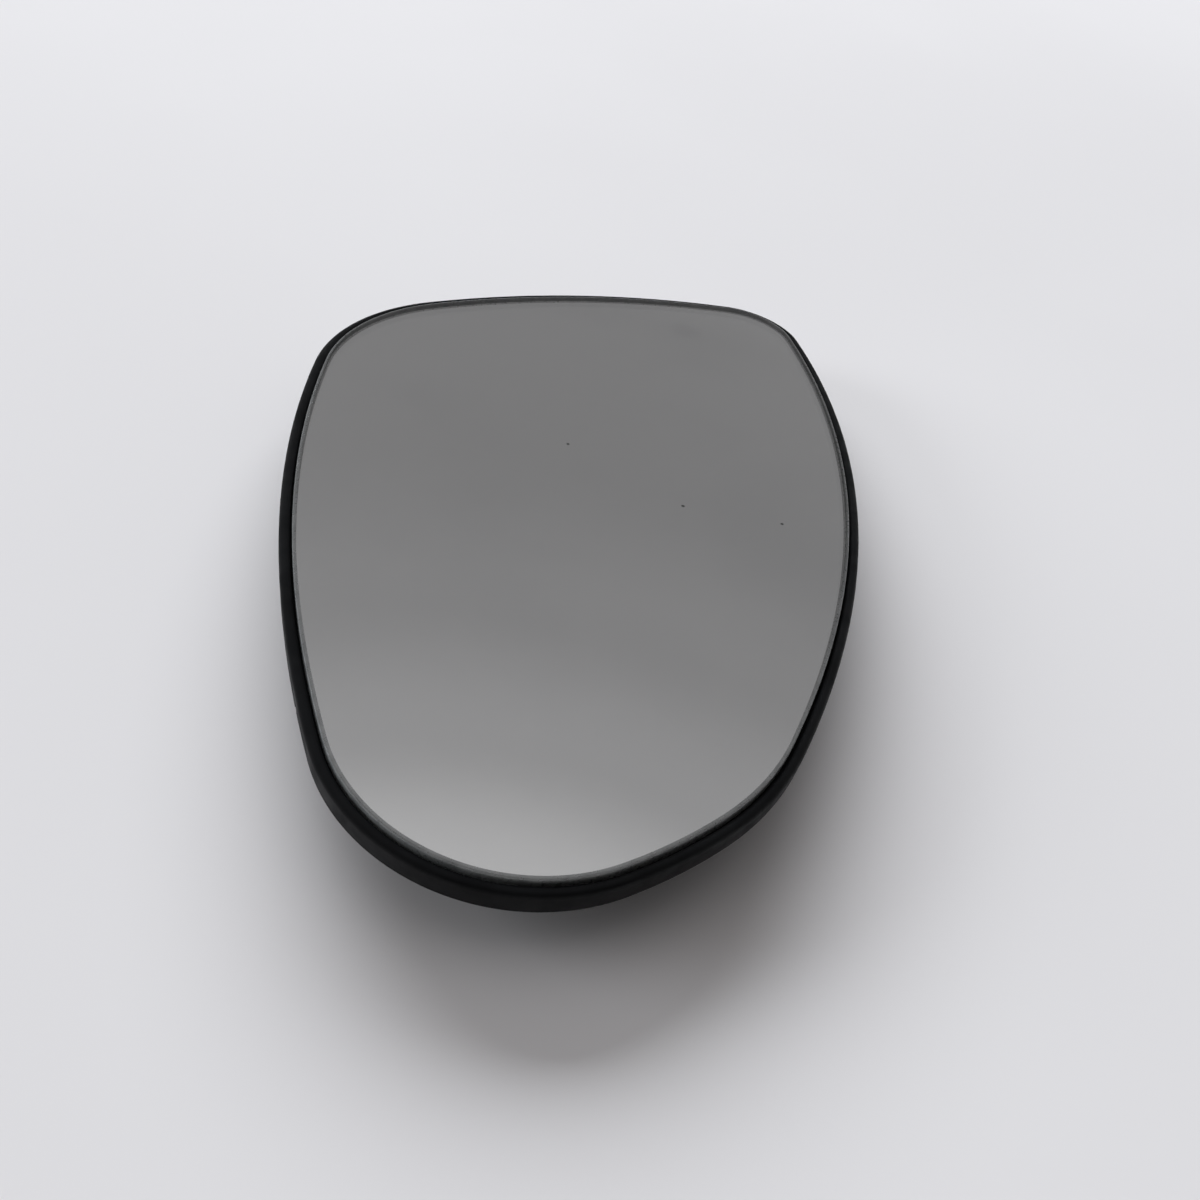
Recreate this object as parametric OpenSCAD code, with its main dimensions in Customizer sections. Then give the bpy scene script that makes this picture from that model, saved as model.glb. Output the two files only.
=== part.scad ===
// Convex glass of a car's door mirror, bonded into its moulded backing plate.
// The origin is the centre of the clip ring in the plane of its foot, +Z points out of the glass,
// +X along the glass to its rounded outboard end and +Y to its upper edge. Millimetres.
// Four corner circles and the large arcs that run between them draw the outline of the glass.
// Every other edge of the part is a curve parallel to that one.

/* [Glass] */
// Radius of the convex face
face_r = 1400; // [900:10:2500]
// Thickness of the glass
glass_t = 2; // [1.6:0.1:3]
// Width of the ground edge, seen from the front
ground_w = 0.5; // [0.4:0.05:1.6]
// Depth of the ground edge below the face
ground_d = 0.25; // [0.2:0.05:1]

/* [Outline of the glass] */
// Lower outboard corner, distance of its centre outboard of the clip ring
outboard_x = 51.7; // [48:0.1:60]
// Lower outboard corner, height of its centre above the clip ring's centre
outboard_y = -16.2; // [-20:0.1:-12]
// Radius of the lower outboard corner
outboard_r = 30.1; // [24:0.1:34]
// Distance from the lower outboard corner's centre back to the shoulder's centre
shoulder_back = 18.8; // [14:0.1:22]
// Share of that distance by which the shoulder's radius exceeds the lower outboard corner's
shoulder_gain = 0.88; // [0.84:0.01:0.94]
// Upper inboard corner, distance of its centre inboard of the clip ring
upper_x = 70; // [64:0.1:76]
// Upper inboard corner, height of its centre above the clip ring's centre
upper_y = 39.9; // [34:0.1:44]
// Radius of the upper inboard corner
upper_r = 12.6; // [8:0.1:18]
// Lower inboard corner, distance of its centre inboard of the clip ring
lower_x = 32.3; // [27:0.1:37]
// Lower inboard corner, height of its centre above the clip ring's centre
lower_y = -15.5; // [-18:0.1:-10]
// Radius of the lower inboard corner
lower_r = 36.3; // [32:0.1:42]
// Radius of the arc round the outboard end
outboard_side_r = 82; // [65:1:120]
// Radius of the arc along the upper edge
upper_side_r = 205; // [170:1:400]
// Radius of the arc down the inboard edge
inboard_side_r = 187; // [150:1:400]
// Radius of the arc along the lower edge
lower_side_r = 233; // [200:1:500]

/* [Bonding pad] */
// Thickness of the bonding pad
pad_t = 0.5; // [0.3:0.1:1.2]
// Distance from the pad's edge in from the glass edge
pad_inset = 2.5; // [1:0.1:6]

/* [Backing plate] */
// Thickness of the dish behind the pad
dish_t = 1.8; // [1.4:0.1:3]
// Gap between the glass edge and the rim
rim_gap = 0.35; // [0.2:0.05:0.6]
// Thickness of the rim at its crown
rim_w = 1.8; // [1.4:0.1:2.6]
// Depth of the crown below the face of the glass
crown_drop = 0.6; // [0:0.1:1.2]
// Depth of the crown's rounding
crown_round = 0.8; // [0.4:0.1:1.2]
// Bluntness of the crown's section, where 1 gives half an ellipse and less gives a flatter top
crown_power = 0.8; // [0.5:0.05:1.2]
// Depth of the rim's outer wall below the face of the glass
rim_wall = 4.2; // [3:0.1:4.4]
// Inward slope of the outer wall, from its top to its foot
rim_draft = 0.15; // [0:0.05:0.4]
// Depth of the bead below the dish
rim_bead = 0.5; // [0.1:0.1:1]
// Width of the notch in the lower edge of the rim
notch_w = 1.4; // [0.8:0.1:3]
// Height of the notch
notch_h = 0.7; // [0.5:0.1:1.6]
// Depth of the notch into the wall
notch_d = 1; // [0.5:0.1:1.6]
// Distance of the notch outboard of the clip ring's centre
notch_x = 51.4; // [40:0.5:62]

/* [Ribs] */
// Number of radial ribs
rib_count = 12; // [6:1:20]
// Thickness of a rib
rib_t = 1.2; // [0.8:0.1:2]
// Depth of the ribs at the clip ring
rib_h = 3; // [2:0.1:5]
// Depth of the ribs at the farthest corner of the plate
rib_end_h = 0.6; // [0.5:0.1:2]
// Distance from the glass edge in to the rib that runs round the plate
hoop_inset = 10; // [6:0.5:16]
// Clear strip between the rim and the ends of the radial ribs
rib_end_gap = 1; // [0.5:0.1:4]

/* [Clip ring] */
// Bore radius of the clip ring
ring_r = 31; // [27:0.5:34]
// Wall thickness of the clip ring
ring_t = 2; // [1.6:0.1:3]
// Height of the clip ring, from its foot to the back of the dish
ring_h = 12; // [9:0.5:16]
// Depth of the ring's bore, from its foot to the seat
seat_depth = 5.5; // [4:0.1:7]
// Width of the seat inside the ring
seat_w = 1.2; // [0.6:0.1:2]
// Number of spring fingers
finger_count = 8; // [6:1:12]
// Width of the slots between the fingers
slot_w = 2.4; // [1.5:0.1:4]
// Distance from the back of the dish to the root of the slots
slot_root = 2.5; // [2:0.1:4]
// Reach of the hooks on the fingers
hook_reach = 1.4; // [0.8:0.1:2]
// Height of the sloping lead below a hook
hook_lead = 1.7; // [1:0.1:2.5]
// Height of the flat edge of a hook
hook_land = 0.6; // [0.4:0.1:1]
// Height of the slope above that edge, by which the hook lets go again
hook_back = 0.4; // [0.2:0.1:1]
// Width of the slope where the ring meets the dish
ring_flare = 1; // [0.4:0.1:1.5]
// Height of that slope's foot above the roots of the slots
flare_rise = 0.4; // [0.2:0.1:0.6]

/* [Adjuster seats] */
// Distance of the jack sockets and guide lugs from the ring's centre
seat_pitch = 19; // [16:0.5:21]
// Bore radius of a jack socket
jack_r = 3.2; // [2.5:0.1:4]
// Wall thickness of a jack socket
jack_t = 1.6; // [1.2:0.1:2.2]
// Depth of a jack socket's bore
jack_depth = 5; // [4:0.1:5.5]
// Thickness of the closed end of a jack socket
jack_floor = 0.8; // [0.6:0.1:1.5]
// Length of a guide lug
lug_l = 10; // [6:0.5:14]
// Thickness of a guide lug
lug_t = 2.4; // [1.6:0.1:3.4]

/* [Hidden] */
$fn = 96;

// How far the outline's chords may lie inside its arcs
chord_gap = 0.035;
// Surplus by which a cutting or overlapping solid passes a face
lap = 1;
// Surplus by which a sunk root goes into the dish
root = 0.9;
// Steps round the rim's crown and round its lower edge
crown_steps = 8;
lower_steps = 3;
// Rings of facets between the middle of the dish and its edge
dish_rings = 5;

// Distance from the clip ring's centre past the farthest corner
rib_reach = norm([upper_x, upper_y]) + upper_r + rim_gap + rim_w;

back_z = ring_h;
apex_z = back_z + dish_t + pad_t + glass_t;
shoulder_r = outboard_r + shoulder_gain * shoulder_back;

corners = [
    [outboard_x, outboard_y, outboard_r],
    [outboard_x - shoulder_back, outboard_y, shoulder_r],
    [-upper_x, upper_y, upper_r],
    [-lower_x, lower_y, lower_r]
];
side_radii = [outboard_side_r, upper_side_r, inboard_side_r, lower_side_r];
arc_total = len(corners);

// Centre of a side's arc, which holds the circles of the corners at both its ends
function side_centre(i) =
    let (a = corners[i], b = corners[(i + 1) % arc_total],
         ra = side_radii[i] - a[2], rb = side_radii[i] - b[2],
         span = norm([b[0] - a[0], b[1] - a[1]]),
         along = (ra * ra - rb * rb + span * span) / (2 * span),
         across = sqrt(ra * ra - along * along),
         u = [b[0] - a[0], b[1] - a[1]] / span)
    [a[0], a[1]] + along * u + across * [-u[1], u[0]];

// Direction from the centre of side i to the centre of corner j, where the two arcs meet
function meeting_angle(i, j) =
    let (s = side_centre(i)) atan2(corners[j][1] - s[1], corners[j][0] - s[0]);

function wrapped(angle) = angle < 0 ? angle + 360 : angle >= 360 ? angle - 360 : angle;

// An arc as rays of [centre x, centre y, radius, direction], without the ray at its end
function arc_rays(c, r, from, to) =
    let (turn = wrapped(to - from), steps = max(1, ceil(turn / (2 * acos(1 - chord_gap / r)))))
    [for (k = [0 : steps - 1]) [c[0], c[1], r, from + turn * k / steps]];

// The whole outline as rays, anticlockwise
RAYS = [for (i = [0 : arc_total - 1])
    let (before = (i + arc_total - 1) % arc_total, after = (i + 1) % arc_total)
    each concat(
        arc_rays(corners[i], corners[i][2], meeting_angle(before, i), meeting_angle(i, i)),
        arc_rays(side_centre(i), side_radii[i], meeting_angle(i, i), meeting_angle(i, after)))];
RAY_COUNT = len(RAYS);

// The curve that lies d outside the edge of the glass
function outline(d) = [for (ray = RAYS) [ray[0], ray[1]] + (ray[2] + d) * [cos(ray[3]), sin(ray[3])]];

// Height of the convex face over a point
function face_z(p) = apex_z - face_r + sqrt(face_r * face_r - p[0] * p[0] - p[1] * p[1]);

// One closed ring of points, d outside the glass edge and dz above the face
function face_ring(d, dz) = [for (p = outline(d)) [p[0], p[1], face_z(p) + dz]];

// Two triangles for each step between two rings of points that start at a and b
function band(a, b) = [for (k = [0 : RAY_COUNT - 1])
    let (n = (k + 1) % RAY_COUNT)
    each [[a + k, b + k, b + n], [a + k, b + n, a + n]]];

// A fan that closes the ring that starts at a on the point at index tip
function fan(a, tip, up) = [for (k = [0 : RAY_COUNT - 1])
    let (n = (k + 1) % RAY_COUNT) up ? [tip, a + n, a + k] : [tip, a + k, a + n]];

// Everything above base and under the convex face sunk by depth
module under_face(depth, base) {
    rotate_extrude($fn = 240) intersection() {
        translate([0, apex_z - face_r]) circle(r = face_r - depth, $fn = 3000);
        translate([0, base]) square([rib_reach + lap, apex_z + lap - base]);
    }
}

// Everything between the convex face sunk by top and the convex face sunk by bottom
module layer(top, bottom) {
    difference() {
        under_face(top, 0);
        under_face(bottom, -lap);
    }
}

// Straight-sided block on the curve that lies d outside the glass edge
module block(d) {
    translate([0, 0, -lap]) linear_extrude(height = apex_z + 2 * lap) polygon(outline(d));
}

// Block with the side of the glass and the slope of its ground edge
module ground_block() {
    low = face_ring(0, -glass_t - lap);
    side = face_ring(0, -ground_d);
    high = face_ring(-2 * ground_w, ground_d);
    points = concat(low, side, high, [[0, 0, apex_z - glass_t - 3 * lap], [0, 0, apex_z + lap]]);
    polyhedron(points, concat(
        fan(0, 3 * RAY_COUNT, false),
        band(RAY_COUNT, 0),
        band(2 * RAY_COUNT, RAY_COUNT),
        fan(2 * RAY_COUNT, 3 * RAY_COUNT + 1, true)));
}

module mirror_glass() {
    color("silver") intersection() {
        layer(0, glass_t);
        ground_block();
    }
}

module bonding_pad() {
    color("dimgray") intersection() {
        layer(glass_t, glass_t + pad_t);
        block(-pad_inset);
    }
}

bed_z = -glass_t - pad_t - dish_t;
rim_out = rim_gap + rim_w;
rim_foot = rim_out - rim_draft;
rim_low = bed_z - rim_bead;

// Section of the rim as [distance outside the glass edge, height above its face]: over the crown from
// the glass to the outer wall, down it, round its lower edge and back in under the dish
RIM_SECTION = concat(
    [for (k = [0 : crown_steps]) let (a = 180 - 180 * k / crown_steps)
        [rim_gap + rim_w / 2 * (1 + cos(a)), -crown_drop - crown_round * (1 - pow(sin(a), crown_power))]],
    [for (k = [0 : lower_steps]) let (a = 90 * k / lower_steps)
        [rim_foot - rim_w / 2 * (1 - cos(a)), rim_low + (-rim_wall - rim_low) * (1 - sin(a))]],
    [[rim_gap, rim_low]]);

// Rings of points that spread the rim's inner line to the dish's middle, dz above the face
function dish_ring(share, dz) = [for (p = outline(rim_gap)) let (q = share * p) [q[0], q[1], face_z(q) + dz]];

// Dish and rim as one skin: out across the dish, over the rim and back in under the dish
module tray() {
    inward = [for (k = [1 : dish_rings]) k / dish_rings];
    rings = concat(
        [for (share = inward) dish_ring(share, -glass_t - pad_t)],
        [for (s = RIM_SECTION) face_ring(s[0], s[1])],
        [for (k = [dish_rings : -1 : 1]) dish_ring(k / dish_rings, bed_z)]);
    tips = [[0, 0, apex_z - glass_t - pad_t], [0, 0, back_z]];
    last = (len(rings) - 1) * RAY_COUNT;
    tip = len(rings) * RAY_COUNT;
    difference() {
        polyhedron(
            [for (ring = concat(rings, [tips])) each ring],
            concat(
                fan(0, tip, true),
                [for (i = [0 : len(rings) - 2]) each band(i * RAY_COUNT, (i + 1) * RAY_COUNT)],
                fan(last, tip + 1, false)));
        notch();
    }
}

// Small notch up into the foot of the rim's lower wall, as deep as the curve that bounds it
module notch() {
    wall_y = outboard_y - outboard_r - rim_out;
    foot_z = face_z([notch_x, wall_y]) - rim_wall;
    difference() {
        translate([notch_x - notch_w / 2, 2 * wall_y, foot_z + rim_wall + rim_low - lap])
            cube([notch_w, rim_w - wall_y, notch_h - rim_wall - rim_low + lap]);
        block(rim_out - notch_d);
    }
}

// Depth of the convex form at a distance from its middle
function sag(r) = face_r - sqrt(face_r * face_r - r * r);

// Radial ribs and the rib round the plate, deep at the clip ring and shallow at the rim
module ribs() {
    intersection() {
        rib_space();
        union() {
            intersection() {
                rib_blades();
                block(-rib_end_gap);
            }
            hoop();
        }
    }
}

// What the ribs may fill, from a cone sunk in the dish down to the cone of their feet
module rib_space() {
    near = ring_r + ring_t / 2;
    rotate_extrude() polygon([
        [near, back_z - rib_h], [rib_reach, back_z - sag(rib_reach) - rib_end_h],
        [rib_reach, back_z - sag(rib_reach) + root], [near, back_z - sag(near) + root]]);
}

module rib_blades() {
    for (k = [0 : rib_count - 1])
        rotate([0, 0, 360 * k / rib_count + 180 / rib_count])
            translate([0, -rib_t / 2, 0]) cube([rib_reach, rib_t, apex_z]);
}

module hoop() {
    difference() {
        block(-hoop_inset);
        block(-hoop_inset - rib_t);
    }
}

// Ring of spring fingers with hooks that face outwards, and the seat inside it
module clip_ring() {
    out = ring_r + ring_t;
    hook_out = out + hook_reach;
    flare_z = back_z - slot_root + flare_rise;
    difference() {
        rotate_extrude($fn = 180) polygon([
            [ring_r, 0], [out, 0], [hook_out, hook_lead], [hook_out, hook_lead + hook_land],
            [out, hook_lead + hook_land + hook_back], [out, flare_z],
            [out + ring_flare, flare_z + ring_flare], [out + ring_flare, back_z + root],
            [ring_r - seat_w, back_z + root], [ring_r - seat_w, seat_depth], [ring_r, seat_depth]]);
        for (k = [0 : finger_count - 1])
            rotate([0, 0, 360 * k / finger_count])
                translate([ring_r - seat_w - lap, -slot_w / 2, -lap])
                    cube([ring_t + seat_w + hook_reach + 3 * lap, slot_w, back_z - slot_root + lap]);
    }
}

// Height of the mouths of the jack sockets, with which the lugs are level
socket_z = back_z - jack_depth - jack_floor;

// Two sockets for the adjuster's jacks, at right angles about the ring's centre
module jack_sockets() {
    for (turn = [0, 90])
        rotate([0, 0, turn]) translate([seat_pitch, 0, socket_z]) difference() {
            cylinder(r = jack_r + jack_t, h = back_z + root - socket_z);
            translate([0, 0, -lap]) cylinder(r = jack_r, h = jack_depth + lap);
        }
}

// Two plain lugs opposite the sockets, which stop the plate from turning on its ring
module guide_lugs() {
    for (turn = [180, 270])
        rotate([0, 0, turn])
            translate([seat_pitch - lug_l / 2, -lug_t / 2, socket_z])
                cube([lug_l, lug_t, back_z + root - socket_z]);
}

module backing_plate() {
    color([0.1, 0.1, 0.11]) union() {
        tray();
        ribs();
        clip_ring();
        jack_sockets();
        guide_lugs();
    }
}

mirror_glass();
bonding_pad();
backing_plate();
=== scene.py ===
"""Looks of a convex door mirror glass in its moulded backing plate.

Everything is in metres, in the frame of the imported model: the origin is the centre of the clip ring in
the plane of its foot, +Z points out of the glass, +X along it to its rounded end, +Y to its upper edge.
"""

import logging
import math
from dataclasses import dataclass, field
from enum import Enum, IntEnum

import bmesh
import bpy
from mathutils import Matrix, Vector

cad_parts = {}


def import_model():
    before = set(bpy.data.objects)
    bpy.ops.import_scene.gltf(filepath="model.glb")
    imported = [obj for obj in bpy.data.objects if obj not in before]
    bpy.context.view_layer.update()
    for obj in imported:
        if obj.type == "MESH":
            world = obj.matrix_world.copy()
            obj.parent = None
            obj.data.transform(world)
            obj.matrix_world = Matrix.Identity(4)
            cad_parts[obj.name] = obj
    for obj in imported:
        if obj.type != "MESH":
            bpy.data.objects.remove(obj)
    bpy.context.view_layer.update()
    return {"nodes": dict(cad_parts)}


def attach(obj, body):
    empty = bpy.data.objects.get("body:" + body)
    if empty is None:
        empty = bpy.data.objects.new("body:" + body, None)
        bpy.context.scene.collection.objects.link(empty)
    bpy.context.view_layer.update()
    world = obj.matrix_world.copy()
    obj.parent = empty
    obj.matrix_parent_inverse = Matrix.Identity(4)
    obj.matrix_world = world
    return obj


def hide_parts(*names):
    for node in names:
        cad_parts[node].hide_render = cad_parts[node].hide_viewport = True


log = logging.getLogger("mirror_glass")

Tone = tuple[float, float, float]
Span = tuple[float, float]
Socket = bpy.types.NodeSocket

MM = 0.001
# points closer than this are one
WELD = 0.000001
# how far the fingers reach into the collar
LAP = 0.0002
# material index of faces while they are cut into a grid
CUT_MARK = 9
# where the cuts lie in their cells, so that none runs through the middle of the part
CUT_SHIFT = 0.37
# values of a noise that count as its lowest and highest
NOISE_SPAN: Span = (0.3, 0.7)
# the full range of a share
WHOLE: Span = (0, 1)
# an arc's ends count as on it within this angle
TURN_SLACK = 0.000001
GLASS_IOR = 1.52
ROOT = "root"


class Slot(Enum):
    """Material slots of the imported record."""

    MIRROR = "mirror_face"
    BOND = "bonding_layer"
    MOULDING = "black_moulding"


class Axis(Enum):
    """Columns of a point that a cut runs across."""

    X = 0
    Y = 1


class GlassFace(IntEnum):
    """Material index of each kind of face on the glass."""

    FRONT = 0
    GROUND = 1
    SIDE = 2
    BACK = 3


@dataclass(frozen=True)
class Corner:
    """A corner circle of the outline, in metres."""

    x: float
    y: float
    r: float


@dataclass(frozen=True)
class Arc:
    """An arc of the outline: its centre, radius, start and turn."""

    centre: tuple[float, float]
    r: float
    start: float
    turn: float


@dataclass
class Outline:
    """Edge of the glass: four corner circles and the large arcs that run between them."""

    corners: tuple[Corner, ...] = (
        Corner(0.0517, -0.0162, 0.0301),
        Corner(0.0329, -0.0162, 0.046644),
        Corner(-0.07, 0.0399, 0.0126),
        Corner(-0.0323, -0.0155, 0.0363),
    )
    side_radii: tuple[float, ...] = (0.082, 0.205, 0.187, 0.233)
    chord_gap: float = 0.000004
    face_r: float = 1.4
    apex_z: float = 0.0163
    arcs: list[Arc] = field(default_factory=list)

    def __post_init__(self) -> None:
        """Works out the arcs from the corners."""
        count = len(self.corners)
        for i, corner in enumerate(self.corners):
            start = self.meeting(i - 1, i)
            self.arcs.append(self.arc((corner.x, corner.y), corner.r, start, self.meeting(i, i)))
            side = self.side_centre(i)
            after = self.meeting(i, (i + 1) % count)
            self.arcs.append(self.arc(side, self.side_radii[i], self.meeting(i, i), after))

    def arc(self, centre: tuple[float, float], r: float, start: float, end: float) -> Arc:
        """An anticlockwise arc from start to end."""
        return Arc(centre, r, start, (end - start) % math.tau)

    def side_centre(self, i: int) -> tuple[float, float]:
        """Centre of the large arc that holds both corner circles at its ends.

        Args:
            i: number of the corner that the arc starts from.

        Returns:
            The centre's x and y.
        """
        i %= len(self.corners)
        a, b = self.corners[i], self.corners[(i + 1) % len(self.corners)]
        ra, rb = self.side_radii[i] - a.r, self.side_radii[i] - b.r
        span = math.hypot(b.x - a.x, b.y - a.y)
        along = (ra * ra - rb * rb + span * span) / (2 * span)
        across = math.sqrt(ra * ra - along * along)
        ux, uy = (b.x - a.x) / span, (b.y - a.y) / span
        return a.x + along * ux - across * uy, a.y + along * uy + across * ux

    def meeting(self, side: int, corner: int) -> float:
        """Direction from a side's centre to a corner's centre, where the two arcs meet."""
        cx, cy = self.side_centre(side)
        c = self.corners[corner % len(self.corners)]
        return math.atan2(c.y - cy, c.x - cx)

    def steps(self, arc: Arc) -> int:
        """Chords that an arc needs to stay within chord_gap."""
        return max(2, math.ceil(arc.turn / (2 * math.acos(1 - self.chord_gap / arc.r))))

    def sag(self, x: float, y: float) -> float:
        """Depth of the convex form below its highest point."""
        return self.face_r - math.sqrt(self.face_r**2 - x * x - y * y)

    def face_z(self, x: float, y: float) -> float:
        """Height of the glass face."""
        return self.apex_z - self.sag(x, y)

    def reach(self, angle: float, offset: float) -> float:
        """Distance from the origin to the curve at offset, in a direction."""
        ux, uy = math.cos(angle), math.sin(angle)
        far = 0.0
        for arc in self.arcs:
            r = arc.r + offset
            along = ux * arc.centre[0] + uy * arc.centre[1]
            rest = along * along - arc.centre[0] ** 2 - arc.centre[1] ** 2 + r * r
            if rest < 0:
                continue
            t = along + math.sqrt(rest)
            a = math.atan2(t * uy - arc.centre[1], t * ux - arc.centre[0])
            if (a - arc.start) % math.tau <= arc.turn + TURN_SLACK:
                far = max(far, t)
        return far


class Builder:
    """Shared steps that turn a bmesh into a finished piece."""

    def __init__(self, outline: Outline) -> None:
        """Keeps the outline that every piece is measured from."""
        self.outline = outline

    def sweep(self, bm: bmesh.types.BMesh, section: list[tuple[float, float]]) -> None:
        """Spins a section round the eight arcs of the outline.

        Args:
            bm: empty mesh that gets the swept skin.
            section: points of distance outside the edge of the glass and height.
        """
        first = self.outline.arcs[0]
        ux, uy = math.cos(first.start), math.sin(first.start)
        verts = [
            bm.verts.new((first.centre[0] + (first.r + d) * ux, first.centre[1] + (first.r + d) * uy, z))
            for d, z in section
        ]
        geom = verts + [bm.edges.new(pair) for pair in zip(verts, verts[1:])]
        for arc in self.outline.arcs:
            spun = bmesh.ops.spin(
                bm, geom=geom, cent=(*arc.centre, 0), axis=(0, 0, 1), angle=arc.turn,
                steps=self.outline.steps(arc), use_merge=False, use_duplicate=False,
            )
            geom = [g for g in spun["geom_last"] if not isinstance(g, bmesh.types.BMFace)]
        bmesh.ops.remove_doubles(bm, verts=bm.verts[:], dist=WELD)

    def cap(self, bm: bmesh.types.BMesh, low: float, high: float, step: float, material: int) -> None:
        """Closes the open loop between two heights with a face and cuts it into a grid.

        Args:
            bm: swept mesh with the open loop.
            low: height above which the loop lies.
            high: height under which the loop lies.
            step: distance between the cuts.
            material: material index of the new faces.
        """
        loop = [e for e in bm.edges if e.is_boundary and all(low < v.co.z < high for v in e.verts)]
        for face in bmesh.ops.contextual_create(bm, geom=loop)["faces"]:
            face.material_index = CUT_MARK
        for axis in Axis:
            reach = max(abs(v.co[axis.value]) for v in bm.verts)
            count = int(reach / step)
            for k in range(-count, count + 1):
                place, normal = Vector((0, 0, 0)), Vector((0, 0, 0))
                place[axis.value], normal[axis.value] = (k + CUT_SHIFT) * step, 1
                faces = [f for f in bm.faces if f.material_index == CUT_MARK]
                around = {e for f in faces for e in f.edges} | {v for f in faces for v in f.verts}
                bmesh.ops.bisect_plane(
                    bm, geom=[*faces, *around], dist=WELD, plane_co=place, plane_no=normal,
                )
        for face in bm.faces:
            if face.material_index == CUT_MARK:
                face.material_index = material

    def follow_face(self, bm: bmesh.types.BMesh) -> None:
        """Lowers every vertex by the depth of the convex form."""
        for v in bm.verts:
            v.co.z += self.outline.face_z(v.co.x, v.co.y)

    def soften(self, bm: bmesh.types.BMesh, width: float, above: float, segments: int = 2) -> None:
        """Rounds the sharp edges of a mesh.

        Args:
            bm: closed mesh.
            width: width of the rounding.
            above: smallest angle between faces that counts as an edge, in degrees.
            segments: faces across the rounding.
        """
        least = math.radians(above)
        sharp = [e for e in bm.edges if len(e.link_faces) == 2 and e.calc_face_angle() > least]
        bmesh.ops.bevel(
            bm, geom=sharp, offset=width, offset_type="OFFSET", segments=segments, profile=0.5,
            affect="EDGES", material=-1, clamp_overlap=True,
        )

    def finish(
        self, bm: bmesh.types.BMesh, name: str, materials: list[bpy.types.Material],
        slot: Slot, crease: float = 32,
    ) -> bpy.types.Object:
        """Turns a bmesh into a shaded object in the scene.

        Args:
            bm: the mesh, which is freed.
            name: name of the piece.
            materials: its materials, in the order of the faces' indices.
            slot: material slot of the imported record; not used.
            crease: smallest angle that is shaded as an edge, in degrees.

        Returns:
            The new object.
        """
        bmesh.ops.remove_doubles(bm, verts=bm.verts[:], dist=WELD)
        bmesh.ops.recalc_face_normals(bm, faces=bm.faces[:])
        for face in bm.faces:
            face.smooth = True
        for edge in bm.edges:
            if len(edge.link_faces) == 2:
                kinds = {face.material_index for face in edge.link_faces}
                edge.smooth = len(kinds) == 1 and edge.calc_face_angle() < math.radians(crease)
        mesh = bpy.data.meshes.new(name)
        bm.to_mesh(mesh)
        bm.free()
        for material in materials:
            mesh.materials.append(material)
        obj = bpy.data.objects.new(name, mesh)
        bpy.context.scene.collection.objects.link(obj)
        log.info("%s: %d faces", name, len(mesh.polygons))
        return obj


@dataclass
class GlassSheet:
    """Convex glass, silvered behind, with a ground edge."""

    builder: Builder
    thickness: float = 2.0 * MM
    clear_of_bond: float = 0.04 * MM
    ground_width: float = 0.5 * MM
    ground_depth: float = 0.25 * MM
    arris: float = 0.08 * MM
    # hollow section of the ground edge: shares of its width and depth
    start_drop: float = 0.1
    middle_in: float = 0.45
    middle_drop: float = 0.35
    end_drop: float = 0.8
    level: float = 0.01 * MM
    cell: float = 2.5 * MM
    crease: float = 14

    def build(self, finishes: "FinishSet") -> bpy.types.Object:
        """Builds the sheet: face, ground edge, side and back.

        Args:
            finishes: the materials of the part.

        Returns:
            The piece, which stands for the CAD glass.
        """
        bm = bmesh.new()
        w, d, a = self.ground_width, self.ground_depth, self.arris
        t = self.thickness - self.clear_of_bond
        self.builder.sweep(bm, [
            (-w - a, 0), (-w + a, -self.start_drop * d), (-self.middle_in * w, -self.middle_drop * d),
            (-a, -self.end_drop * d), (0, -d - a), (0, -t + a), (-a, -t),
        ])
        for face in bm.faces:
            ground = face.calc_center_median().z > -d
            face.material_index = GlassFace.GROUND if ground else GlassFace.SIDE
        self.builder.cap(bm, -self.level, self.level, self.cell, GlassFace.FRONT)
        self.builder.cap(bm, -t - self.level, -t + self.level, self.cell, GlassFace.BACK)
        self.builder.follow_face(bm)
        sheet = self.builder.finish(
            bm, "glass_sheet", [finishes.face, finishes.ground, finishes.side, finishes.silvering],
            Slot.MIRROR, self.crease,
        )
        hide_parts("mirror_glass")
        return sheet


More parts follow.
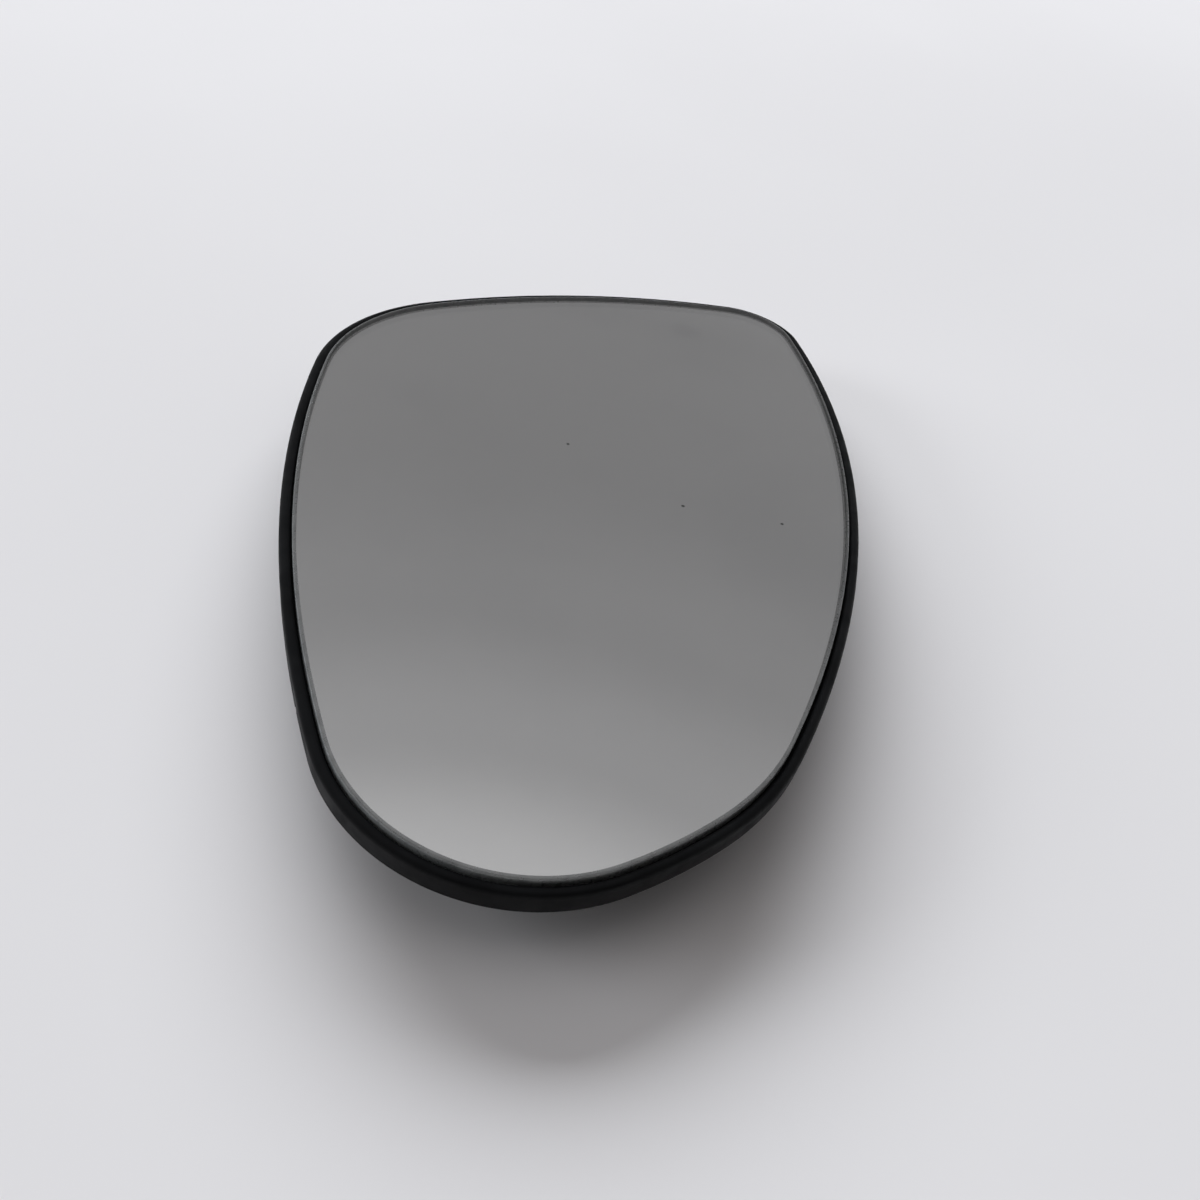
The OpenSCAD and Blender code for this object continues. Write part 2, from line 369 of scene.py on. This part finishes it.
@dataclass
class PlateTray:
    """Dish behind the glass with the rolled rim that runs round it."""

    builder: Builder
    bed: float = -2.5 * MM
    under: float = -4.3 * MM
    gap: float = 0.35 * MM
    rim: float = 1.77 * MM
    crown: float = -0.6 * MM
    crown_round: float = 0.8 * MM
    crown_power: float = 0.8
    wall: float = 4.2 * MM
    draft: float = 0.15 * MM
    bead: float = 0.5 * MM
    land: float = 3 * MM
    crown_steps: int = 20
    foot_steps: int = 6
    cell: float = 4 * MM
    notch: tuple[float, float, float] = (51.4 * MM, -49.62 * MM, 9.89 * MM)
    notch_size: tuple[float, float, float] = (1.4 * MM, 2.0 * MM, 2.2 * MM)

    def section(self) -> list[tuple[float, float]]:
        """Section from the bed of the dish, over the crown and wall, back in under the dish."""
        out, low = self.gap + self.rim, self.under - self.bead
        foot = out - self.draft
        points = [(self.gap - self.land, self.bed), (self.gap, self.bed)]
        for k in range(self.crown_steps + 1):
            a = math.pi * (1 - k / self.crown_steps)
            rise = math.sin(a) ** self.crown_power if 0 < k < self.crown_steps else 0.0
            points.append((
                self.gap + self.rim / 2 * (1 + math.cos(a)), self.crown - self.crown_round * (1 - rise),
            ))
        for k in range(self.foot_steps + 1):
            a = math.pi / 2 * k / self.foot_steps
            points.append((
                foot - self.rim / 2 * (1 - math.cos(a)), low + (-self.wall - low) * (1 - math.sin(a)),
            ))
        return points + [
            (self.gap, low), (self.gap - self.bead, self.under), (self.gap - self.land, self.under),
        ]

    def build(self, finishes: "FinishSet") -> bpy.types.Object:
        """Builds the tray and cuts the notch in its lower wall.

        Args:
            finishes: the materials of the part.

        Returns:
            The piece, which stands for the CAD plate.
        """
        bm = bmesh.new()
        self.builder.sweep(bm, self.section())
        self.builder.cap(bm, self.bed - WELD, self.bed + WELD, self.cell, 0)
        self.builder.cap(bm, self.under - WELD, self.under + WELD, self.cell, 0)
        self.builder.follow_face(bm)
        tray = self.builder.finish(bm, "plate_tray", [finishes.moulding], Slot.MOULDING)
        self.cut_notch(tray)
        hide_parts("backing_plate")
        return tray

    def cut_notch(self, tray: bpy.types.Object) -> None:
        """Takes the small notch out of the foot of the lower wall."""
        bm = bmesh.new()
        bmesh.ops.create_cube(bm, size=1)
        bmesh.ops.scale(bm, vec=self.notch_size, verts=bm.verts[:])
        bmesh.ops.translate(bm, vec=self.notch, verts=bm.verts[:])
        mesh = bpy.data.meshes.new("notch_cutter")
        bm.to_mesh(mesh)
        bm.free()
        cutter = bpy.data.objects.new("notch_cutter", mesh)
        bpy.context.scene.collection.objects.link(cutter)
        cut = tray.modifiers.new("notch", "BOOLEAN")
        cut.object, cut.operation, cut.solver = cutter, "DIFFERENCE", "EXACT"
        depsgraph = bpy.context.evaluated_depsgraph_get()
        whole = tray.data
        tray.data = bpy.data.meshes.new_from_object(tray.evaluated_get(depsgraph))
        tray.modifiers.clear()
        bpy.data.objects.remove(cutter)
        bpy.data.meshes.remove(whole)


@dataclass
class RibWork:
    """Radial ribs and the rib that runs round the plate, under the dish."""

    builder: Builder
    count: int = 12
    thick: float = 1.2 * MM
    near: float = 32 * MM
    end_gap: float = 1 * MM
    hoop_inset: float = 10 * MM
    back_z: float = 12 * MM
    height: float = 3.0 * MM
    end_height: float = 0.6 * MM
    reach: float = 95.3 * MM
    sunk: float = 0.6 * MM
    round: float = 0.25 * MM
    sharp: float = 60
    cells: int = 14

    def level(self, x: float, y: float, share: float) -> float:
        """Height between the root in the dish, at share 0, and the foot of the ribs, at share 1."""
        r = math.hypot(x, y)
        sag = self.builder.outline.sag
        top = self.back_z - sag(r, 0) + self.sunk
        slope = (sag(self.reach, 0) + self.end_height - self.height) / (self.reach - self.near)
        foot = self.back_z - self.height - slope * (r - self.near)
        return top + (foot - top) * share

    def blade(self, bm: bmesh.types.BMesh, angle: float) -> None:
        """Adds one radial rib, from the clip ring to just inside the rim."""
        far = self.builder.outline.reach(angle, -self.end_gap)
        made = bmesh.ops.create_grid(bm, x_segments=self.cells, y_segments=1, size=0.5)["verts"]
        for v in made:
            x, share = self.near + (v.co.x + 0.5) * (far - self.near), 0.5 - v.co.y
            v.co = Vector((x, 0, self.level(x, 0, share)))
        turn = Matrix.Rotation(angle, 4, "Z")
        faces = list({f for v in made for f in v.link_faces})
        wall = bmesh.ops.solidify(bm, geom=faces, thickness=self.thick)["geom"]
        both = {v for f in faces for v in f.verts} | {g for g in wall if isinstance(g, bmesh.types.BMVert)}
        middle = sum(v.co.y for v in both) / len(both)
        for v in both:
            v.co.y -= middle
        bmesh.ops.transform(bm, matrix=turn, verts=list(both))

    def build(self, finishes: "FinishSet") -> bpy.types.Object:
        """Builds the ribs.

        Args:
            finishes: the materials of the part.

        Returns:
            The piece, which stands for the CAD plate's ribs.
        """
        bm = bmesh.new()
        outer, inner = -self.hoop_inset, -self.hoop_inset - self.thick
        self.builder.sweep(bm, [(outer, 0), (outer, 1), (inner, 1), (inner, 0), (outer, 0)])
        for v in bm.verts:
            v.co.z = self.level(v.co.x, v.co.y, v.co.z)
        for k in range(self.count):
            self.blade(bm, math.tau * (k + 0.5) / self.count)
        bmesh.ops.recalc_face_normals(bm, faces=bm.faces[:])
        self.builder.soften(bm, self.round, self.sharp)
        ribs = self.builder.finish(bm, "plate_ribs", [finishes.moulding], Slot.MOULDING)
        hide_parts("backing_plate")
        return ribs


@dataclass
class ClipRing:
    """Ring of spring fingers with hooks that face outwards, and its collar under the dish."""

    builder: Builder
    bore: float = 31 * MM
    thick: float = 2 * MM
    back_z: float = 12 * MM
    seat_depth: float = 5.5 * MM
    seat: float = 1.2 * MM
    fingers: int = 8
    slot_width: float = 2.4 * MM
    slot_root: float = 2.5 * MM
    hook: float = 1.4 * MM
    lead: float = 1.7 * MM
    land: float = 0.6 * MM
    release: float = 0.4 * MM
    flare: float = 1 * MM
    flare_rise: float = 0.4 * MM
    root: float = 0.9 * MM
    round: float = 0.18 * MM
    sharp: float = 24
    steps: int = 14

    def spin(
        self, bm: bmesh.types.BMesh, section: list[tuple[float, float]], start: float, turn: float,
    ) -> None:
        """Spins a closed section about the ring's axis and fills its ends.

        Args:
            bm: mesh that gets the new form.
            section: points of distance from the axis and height.
            start: direction of the first end.
            turn: angle that the form covers.
        """
        known = set(bm.verts)
        verts = [bm.verts.new((r * math.cos(start), r * math.sin(start), z)) for r, z in section]
        geom = verts + [bm.edges.new(pair) for pair in zip(verts, verts[1:] + verts[:1])]
        whole = math.isclose(turn, math.tau)
        bmesh.ops.spin(
            bm, geom=geom, cent=(0, 0, 0), axis=(0, 0, 1), angle=turn,
            steps=self.steps * (self.fingers if whole else 1), use_merge=whole, use_duplicate=False,
        )
        fresh = [v for v in bm.verts if v not in known]
        bmesh.ops.remove_doubles(bm, verts=fresh, dist=WELD)
        if not whole:
            ends = {e for v in bm.verts if v not in known for e in v.link_edges if e.is_boundary}
            bmesh.ops.edgeloop_fill(bm, edges=list(ends))

    def build(self, finishes: "FinishSet") -> bpy.types.Object:
        """Builds the collar and the fingers.

        Args:
            finishes: the materials of the part.

        Returns:
            The piece, which stands for the CAD plate's ring.
        """
        bm = bmesh.new()
        out, hook_out = self.bore + self.thick, self.bore + self.thick + self.hook
        neck, inner = self.back_z - self.slot_root, self.bore - self.seat
        flare_z, top = neck + self.flare_rise, self.back_z + self.root
        latch = self.lead + self.land
        gap = self.slot_width / (self.bore + self.thick / 2)
        self.spin(bm, [
            (inner, neck), (out, neck), (out, flare_z), (out + self.flare, flare_z + self.flare),
            (out + self.flare, top), (inner, top),
        ], 0, math.tau)
        for k in range(self.fingers):
            self.spin(bm, [
                (self.bore, 0), (out, 0), (hook_out, self.lead), (hook_out, latch),
                (out, latch + self.release), (out, neck + LAP), (inner, neck + LAP),
                (inner, self.seat_depth), (self.bore, self.seat_depth),
            ], math.tau * k / self.fingers + gap / 2, math.tau / self.fingers - gap)
        bmesh.ops.recalc_face_normals(bm, faces=bm.faces[:])
        self.builder.soften(bm, self.round, self.sharp)
        ring = self.builder.finish(bm, "clip_ring", [finishes.moulding], Slot.MOULDING)
        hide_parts("backing_plate")
        return ring


@dataclass
class AdjusterSeats:
    """Two sockets for the adjuster's jacks and the two plain lugs opposite them."""

    builder: Builder
    pitch: float = 19 * MM
    bore: float = 3.2 * MM
    thick: float = 1.6 * MM
    mouth: float = 6.2 * MM
    floor: float = 11.2 * MM
    top: float = 12.9 * MM
    lug: tuple[float, float] = (10 * MM, 2.4 * MM)
    round: float = 0.3 * MM
    sharp: float = 60
    steps: int = 40

    def socket(self, bm: bmesh.types.BMesh, centre: Vector) -> None:
        """Adds one socket, open downwards."""
        b, o, c = self.bore, self.bore + self.thick, self.round
        section = [
            (0, self.floor), (b, self.floor), (b, self.mouth + c), (b + c, self.mouth), (o - c, self.mouth),
            (o, self.mouth + c), (o, self.top), (0, self.top),
        ]
        known = set(bm.verts)
        verts = [bm.verts.new(centre + Vector((r, 0, z))) for r, z in section]
        geom = verts + [bm.edges.new(pair) for pair in zip(verts, verts[1:])]
        bmesh.ops.spin(
            bm, geom=geom, cent=centre, axis=(0, 0, 1), angle=math.tau, steps=self.steps,
            use_merge=True, use_duplicate=False,
        )
        bmesh.ops.remove_doubles(bm, verts=[v for v in bm.verts if v not in known], dist=WELD)

    def build(self, finishes: "FinishSet") -> bpy.types.Object:
        """Builds the sockets and lugs.

        Args:
            finishes: the materials of the part.

        Returns:
            The piece, which stands for the CAD plate's seats.
        """
        bm = bmesh.new()
        for angle in (math.pi, 1.5 * math.pi):
            lug = bmesh.ops.create_cube(bm, size=1)["verts"]
            bmesh.ops.scale(bm, vec=(*self.lug, self.top - self.mouth), verts=lug)
            bmesh.ops.translate(bm, vec=(self.pitch, 0, (self.top + self.mouth) / 2), verts=lug)
            bmesh.ops.rotate(bm, cent=(0, 0, 0), matrix=Matrix.Rotation(angle, 3, "Z"), verts=lug)
        self.builder.soften(bm, self.round, self.sharp)
        for centre in (Vector((self.pitch, 0, 0)), Vector((0, self.pitch, 0))):
            self.socket(bm, centre)
        seats = self.builder.finish(bm, "adjuster_seats", [finishes.moulding], Slot.MOULDING)
        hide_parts("backing_plate")
        return seats


def ease(tree: bpy.types.NodeTree, value: Socket, span: Span, to: Span) -> Socket:
    """Maps a span of a value smoothly to another span.

    Args:
        tree: node tree that gets the node.
        value: the value's socket.
        span: two ends of the value's range.
        to: what they become.

    Returns:
        The mapped value's socket.
    """
    node = tree.nodes.new("ShaderNodeMapRange")
    node.interpolation_type = "SMOOTHSTEP"
    node.inputs["From Min"].default_value, node.inputs["From Max"].default_value = span
    node.inputs["To Min"].default_value, node.inputs["To Max"].default_value = to
    tree.links.new(value, node.inputs["Value"])
    return node.outputs["Result"]


def work_out(tree: bpy.types.NodeTree, kind: str, a: Socket, b: Socket | float) -> Socket:
    """Joins a value and another value or number by a math operation.

    Args:
        tree: node tree that gets the node.
        kind: Blender's name of the operation.
        a: first value's socket.
        b: second value's socket, or a number.

    Returns:
        The result's socket.
    """
    node = tree.nodes.new("ShaderNodeMath")
    node.operation = kind
    tree.links.new(a, node.inputs[0])
    if isinstance(b, Socket):
        tree.links.new(b, node.inputs[1])
    else:
        node.inputs[1].default_value = b
    return node.outputs[0]


class Nodes:
    """Short calls that build the node tree of a finish."""

    def __init__(self, name: str) -> None:
        """Starts a material with a Principled shader."""
        self.material = bpy.data.materials.new(name)
        self.material.use_nodes = True
        self.tree = self.material.node_tree
        self.shader = self.tree.nodes["Principled BSDF"]
        self.place = self.tree.nodes.new("ShaderNodeTexCoord").outputs["Object"]

    def put(self, socket: str, value: float | tuple[float, ...]) -> None:
        """Sets an input of the shader."""
        self.shader.inputs[socket].default_value = value

    def link(self, source: Socket, socket: str) -> None:
        """Links a source to an input of the shader."""
        self.tree.links.new(source, self.shader.inputs[socket])

    def noise(self, scale: float, detail: float) -> Socket:
        """Noise on Object coordinates.

        Args:
            scale: repeats per metre.
            detail: octaves.

        Returns:
            The noise value's socket.
        """
        node = self.tree.nodes.new("ShaderNodeTexNoise")
        node.inputs["Scale"].default_value, node.inputs["Detail"].default_value = scale, detail
        self.tree.links.new(self.place, node.inputs["Vector"])
        return node.outputs["Fac"]

    def spread(self, source: Socket, span: Span, to: Span) -> Socket:
        """Maps a range of a value smoothly to another range."""
        return ease(self.tree, source, span, to)

    def blend(self, share: Socket, a: Tone | Socket, b: Tone) -> Socket:
        """Mixes two colours.

        Args:
            share: how much of b.
            a: first colour, or a socket that gives it.
            b: second colour.

        Returns:
            The colour's socket.
        """
        node = self.tree.nodes.new("ShaderNodeMix")
        node.data_type = "RGBA"
        colours = [s for s in node.inputs if s.type == "RGBA"]
        self.tree.links.new(share, node.inputs[0])
        if isinstance(a, Socket):
            self.tree.links.new(a, colours[0])
        else:
            colours[0].default_value = (*a, 1)
        colours[1].default_value = (*b, 1)
        return next(s for s in node.outputs if s.type == "RGBA")

    def add(self, a: Socket, b: Socket) -> Socket:
        """Adds two values."""
        return work_out(self.tree, "ADD", a, b)

    def near(self, point: tuple[float, float, float], radius: float, soft: float) -> Socket:
        """Value that is 1 within radius of a point and 0 beyond radius plus soft."""
        node = self.tree.nodes.new("ShaderNodeVectorMath")
        node.operation = "DISTANCE"
        self.tree.links.new(self.place, node.inputs[0])
        node.inputs[1].default_value = point
        return self.spread(node.outputs["Value"], (radius, radius + soft), (1, 0))

    def bump(self, height: Socket, distance: float, strength: float) -> None:
        """Bumps the surface by a height."""
        node = self.tree.nodes.new("ShaderNodeBump")
        node.inputs["Distance"].default_value, node.inputs["Strength"].default_value = distance, strength
        self.tree.links.new(height, node.inputs["Height"])
        self.link(node.outputs["Normal"], "Normal")


@dataclass(frozen=True)
class MouldedPlastic:
    """Black moulding with a fine satin grain."""

    deep: Tone = (0.0025, 0.0026, 0.003)
    light: Tone = (0.005, 0.0052, 0.0058)
    cloud: float = 70
    roughness: Span = (0.5, 0.66)
    mottle: float = 240
    ior: float = 1.45
    gloss: float = 0.18
    grain: float = 2600
    # how many times coarser the second grain is
    coarser: float = 7
    grain_height: float = 0.00002
    grain_strength: float = 0.35

    def material(self, name: str) -> bpy.types.Material:
        """Builds the material."""
        n = Nodes(name)
        cloud = n.spread(n.noise(self.cloud, 4), NOISE_SPAN, WHOLE)
        n.link(n.blend(cloud, self.deep, self.light), "Base Color")
        n.link(n.spread(n.noise(self.mottle, 3), NOISE_SPAN, self.roughness), "Roughness")
        n.put("IOR", self.ior)
        n.put("Specular IOR Level", self.gloss)
        height = n.add(n.noise(self.grain, 2), n.noise(self.grain / self.coarser, 3))
        n.bump(height, self.grain_height, self.grain_strength)
        return n.material


@dataclass(frozen=True)
class Spot:
    """A round place on a surface."""

    point: tuple[float, float, float]
    radius: float


@dataclass(frozen=True)
class ClearFace:
    """Clear front of the glass, with a film so faint that it only softens a reflection."""

    tint: Tone = (0.98, 0.984, 0.982)
    cloud: float = 18
    cloud_span: Span = (0.4, 0.75)
    roughness: Span = (0, 0.012)

    def material(self, name: str) -> bpy.types.Material:
        """Builds the material."""
        n = Nodes(name)
        n.put("Base Color", (*self.tint, 1))
        n.put("Transmission Weight", 1.0)
        n.put("IOR", GLASS_IOR)
        n.link(n.spread(n.noise(self.cloud, 4), self.cloud_span, self.roughness), "Roughness")
        return n.material


@dataclass(frozen=True)
class Silvering:
    """Silvering behind the glass, with a few dark specks and a faint smudge."""

    silver: Tone = (0.85, 0.843, 0.845)
    dull: Tone = (0.745, 0.742, 0.749)
    dust: Tone = (0.12, 0.12, 0.115)
    cloud: float = 26
    cloud_span: Span = (0.42, 0.75)
    cloud_share: Span = (0, 0.35)
    roughness: Span = (0.015, 0.07)
    specks: tuple[Spot, ...] = (
        Spot((-0.01528, -0.00518, 0.01425), 0.00016),
        Spot((0.00089, 0.01488, 0.01426), 0.00018),
        Spot((0.0032, 0.03351, 0.01394), 0.00016),
    )
    speck_edge: float = 0.00025
    smudge: Spot = Spot((-0.06756, 0.02645, 0.01246), 0.0016)
    smudge_edge: float = 0.003
    smudge_grain: float = 900

    def material(self, name: str) -> bpy.types.Material:
        """Builds the material."""
        n = Nodes(name)
        film = n.spread(n.noise(self.cloud, 5), self.cloud_span, self.cloud_share)
        smudge = n.near(self.smudge.point, self.smudge.radius, self.smudge_edge)
        mark = work_out(n.tree, "MULTIPLY", smudge, n.noise(self.smudge_grain, 3))
        wear = n.add(film, mark)
        colour = n.blend(wear, self.silver, self.dull)
        for speck in self.specks:
            colour = n.blend(n.near(speck.point, speck.radius, self.speck_edge), colour, self.dust)
        n.link(colour, "Base Color")
        n.link(n.spread(wear, WHOLE, self.roughness), "Roughness")
        n.put("Metallic", 1.0)
        return n.material


@dataclass(frozen=True)
class GroundGlass:
    """Ground edge and side of the glass, which scatter the light."""

    deep: Tone = (0.2, 0.206, 0.206)
    light: Tone = (0.3, 0.306, 0.304)
    cloud: float = 420
    roughness: Span = (0.25, 0.4)
    mottle: float = 1500
    clear: float = 0.85
    grain: float = 5200
    grain_height: float = 0.000004
    grain_strength: float = 0.1

    def material(self, name: str) -> bpy.types.Material:
        """Builds the material."""
        n = Nodes(name)
        cloud = n.spread(n.noise(self.cloud, 4), NOISE_SPAN, WHOLE)
        n.link(n.blend(cloud, self.deep, self.light), "Base Color")
        n.link(n.spread(n.noise(self.mottle, 3), NOISE_SPAN, self.roughness), "Roughness")
        n.put("Transmission Weight", self.clear)
        n.put("IOR", GLASS_IOR)
        n.bump(n.noise(self.grain, 2), self.grain_height, self.grain_strength)
        return n.material


@dataclass(frozen=True)
class BondCoat:
    """Matt black layer that bonds the glass to the plate."""

    deep: Tone = (0.012, 0.012, 0.013)
    light: Tone = (0.024, 0.024, 0.026)
    cloud: float = 500
    roughness: Span = (0.72, 0.9)
    mottle: float = 1300
    grain: float = 3200
    grain_height: float = 0.00002
    grain_strength: float = 0.3

    def material(self, name: str) -> bpy.types.Material:
        """Builds the material."""
        n = Nodes(name)
        cloud = n.spread(n.noise(self.cloud, 4), NOISE_SPAN, WHOLE)
        n.link(n.blend(cloud, self.deep, self.light), "Base Color")
        n.link(n.spread(n.noise(self.mottle, 3), NOISE_SPAN, self.roughness), "Roughness")
        n.bump(n.noise(self.grain, 3), self.grain_height, self.grain_strength)
        return n.material


@dataclass(frozen=True)
class TableTop:
    """Pale matt table."""

    pale: Tone = (0.825, 0.79, 0.79)
    shade: Tone = (0.80, 0.765, 0.765)
    cloud: float = 3
    cloud_span: Span = (0.35, 0.65)
    roughness: float = 0.75
    gloss: float = 0.2

    def material(self, name: str) -> bpy.types.Material:
        """Builds the material."""
        n = Nodes(name)
        cloud = n.spread(n.noise(self.cloud, 3), self.cloud_span, WHOLE)
        n.link(n.blend(cloud, self.pale, self.shade), "Base Color")
        n.put("Roughness", self.roughness)
        n.put("Specular IOR Level", self.gloss)
        return n.material


@dataclass
class FinishSet:
    """The part's materials."""

    moulding: bpy.types.Material
    face: bpy.types.Material
    ground: bpy.types.Material
    side: bpy.types.Material
    silvering: bpy.types.Material
    bond: bpy.types.Material

    @classmethod
    def make(cls) -> "FinishSet":
        """Builds every finish."""
        return cls(
            moulding=MouldedPlastic().material("black_plastic"),
            face=ClearFace().material("clear_face"),
            ground=GroundGlass().material("ground_edge"),
            side=GroundGlass(clear=0.1).material("glass_side"),
            silvering=Silvering().material("silvering"),
            bond=BondCoat().material("bond_layer"),
        )


@dataclass(frozen=True)
class SoftLamp:
    """Wide lamp turned to the part, which the glass doesn't reflect."""

    name: str
    place: tuple[float, float, float]
    size: tuple[float, float]
    power: float
    tone: Tone = (0.90, 0.956, 1.0)

    def build(self) -> None:
        """Adds the lamp to the scene."""
        light = bpy.data.lights.new(self.name, "AREA")
        light.shape, light.energy, light.color = "ELLIPSE", self.power, self.tone
        light.size, light.size_y = self.size
        obj = bpy.data.objects.new(self.name, light)
        obj.location = self.place
        obj.rotation_mode = "QUATERNION"
        obj.rotation_quaternion = (-Vector(self.place)).to_track_quat("-Z", "Y")
        obj.visible_glossy = obj.visible_transmission = False
        bpy.context.scene.collection.objects.link(obj)


@dataclass
class Studio:
    """Pale table, lamps beyond the far end and at one side, and a grey room that the glass reflects."""

    table_radius: float = 1.0
    table_steps: int = 128
    lamps: tuple[SoftLamp, ...] = (
        SoftLamp("far_lamp", (-4.0, -0.4, 2.1), (6.0, 2.2), 335.0),
        SoftLamp("side_lamp", (-0.4, -2.9, 0.95), (1.6, 1.0), 30.0),
    )
    # sine of the elevation and the brightness of the room there
    bands: tuple[Span, ...] = (
        (-0.1, 0.62), (0.12, 0.56), (0.26, 0.268), (0.38, 0.231), (0.56, 0.2235), (0.7, 0.257),
        (0.8, 0.335), (0.88, 0.492), (1.0, 0.447),
    )
    blue_gain: float = 1.01
    # the room is darker behind the viewer, from the first share of +X to the second
    dim_from: float = -0.05
    dim_to: float = 0.5
    dim_share: float = 0.06
    # how much the room brightens to both sides of its darkest direction
    side_gain: float = 0.7
    side_middle: float = 0.2
    # both changes begin above the horizon, which is even all round
    even_below: float = 0.14
    full_above: float = 0.32

    def table(self, finish: TableTop) -> None:
        """Builds the round table top."""
        bm = bmesh.new()
        bmesh.ops.create_circle(bm, cap_ends=True, radius=self.table_radius, segments=self.table_steps)
        mesh = bpy.data.meshes.new("table_top")
        bm.to_mesh(mesh)
        bm.free()
        mesh.materials.append(finish.material("table_top"))
        top = bpy.data.objects.new("table_top", mesh)
        bpy.context.scene.collection.objects.link(top)

    def room(self) -> None:
        """Makes the world: a soft grey room, pale at the horizon and bright overhead."""
        world = bpy.data.worlds.new("room")
        bpy.context.scene.world = world
        world.use_nodes = True
        tree = world.node_tree
        place = tree.nodes.new("ShaderNodeTexCoord").outputs["Generated"]
        split = tree.nodes.new("ShaderNodeSeparateXYZ")
        ramp = tree.nodes.new("ShaderNodeValToRGB")
        ramp.color_ramp.interpolation = "EASE"
        low, high = self.bands[0][0], self.bands[-1][0]
        stops = ramp.color_ramp.elements
        for k, (height, tone) in enumerate(self.bands):
            share = (height - low) / (high - low)
            stop = stops[k] if k < 2 else stops.new(share)
            stop.position, stop.color = share, (tone, tone, tone * self.blue_gain, 1)
        spread = tree.nodes.new("ShaderNodeMapRange")
        spread.inputs["From Min"].default_value, spread.inputs["From Max"].default_value = low, high
        tree.links.new(place, split.inputs[0])
        tree.links.new(split.outputs["Z"], spread.inputs["Value"])
        tree.links.new(spread.outputs["Result"], ramp.inputs["Fac"])
        tree.links.new(ramp.outputs["Color"], tree.nodes["Background"].inputs["Color"])
        tree.links.new(self.strength(tree, split), tree.nodes["Background"].inputs["Strength"])

    def strength(self, tree: bpy.types.NodeTree, split: bpy.types.Node) -> Socket:
        """Factor on the room's brightness above the horizon: brighter to both sides, darker towards +X.

        Args:
            tree: node tree of the world.
            split: node that gives the direction's X, Y and Z.

        Returns:
            The factor's socket.
        """
        aside = work_out(tree, "SUBTRACT", split.outputs["Y"], self.side_middle)
        square = work_out(tree, "MULTIPLY", aside, aside)
        gain = work_out(tree, "ADD", work_out(tree, "MULTIPLY", square, self.side_gain), 1.0)
        dim = ease(tree, split.outputs["X"], (self.dim_from, self.dim_to), (1.0, self.dim_share))
        change = work_out(tree, "SUBTRACT", work_out(tree, "MULTIPLY", gain, dim), 1.0)
        above = ease(tree, split.outputs["Z"], (self.even_below, self.full_above), WHOLE)
        return work_out(tree, "ADD", work_out(tree, "MULTIPLY", change, above), 1.0)

    def build(self) -> None:
        """Sets up the table, the lamps and the room."""
        self.table(TableTop())
        for lamp in self.lamps:
            lamp.build()
        self.room()
        log.info("studio: table, %d lamps and room", len(self.lamps))


@dataclass(frozen=True)
class Eye:
    """Camera at the photograph's viewpoint."""

    place: tuple[float, float, float] = (0.171883, -0.041513, 0.14205)
    right: tuple[float, float, float] = (0.096725, 0.977911, 0.185293)
    down: tuple[float, float, float] = (0.671151, 0.073391, -0.737679)
    lens: float = 36.0
    sensor: float = 36.0
    clip: Span = (0.005, 20)

    def build(self) -> None:
        """Creates the camera and makes it the scene's."""
        data = bpy.data.cameras.new("eye")
        data.lens, data.sensor_width = self.lens, self.sensor
        data.clip_start, data.clip_end = self.clip
        obj = bpy.data.objects.new("eye", data)
        right, up = Vector(self.right).normalized(), -Vector(self.down)
        back = right.cross(up).normalized()
        up = back.cross(right)
        turn = Matrix((right, up, back)).transposed()
        obj.matrix_world = Matrix.Translation(self.place) @ turn.to_4x4()
        bpy.context.scene.collection.objects.link(obj)
        bpy.context.scene.camera = obj
        log.info("camera at %s", tuple(round(v, 4) for v in self.place))


def main() -> None:
    """Builds the camera, the part and the studio in order."""
    logging.basicConfig(level=logging.INFO, format="%(name)s: %(message)s")
    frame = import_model()
    Eye().build()
    finishes = FinishSet.make()
    outline = Outline()
    builder = Builder(outline)
    assemblies = (
        GlassSheet(builder), PlateTray(builder), RibWork(builder), ClipRing(builder),
        AdjusterSeats(builder),
    )
    for assembly in assemblies:
        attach(assembly.build(finishes), ROOT)
    bond = frame["nodes"]["bonding_pad"]
    bond.data.materials.clear()
    bond.data.materials.append(finishes.bond)
    Studio().build()
    bpy.context.scene.view_settings.view_transform = "Standard"


if __name__ == "__main__":
    main()
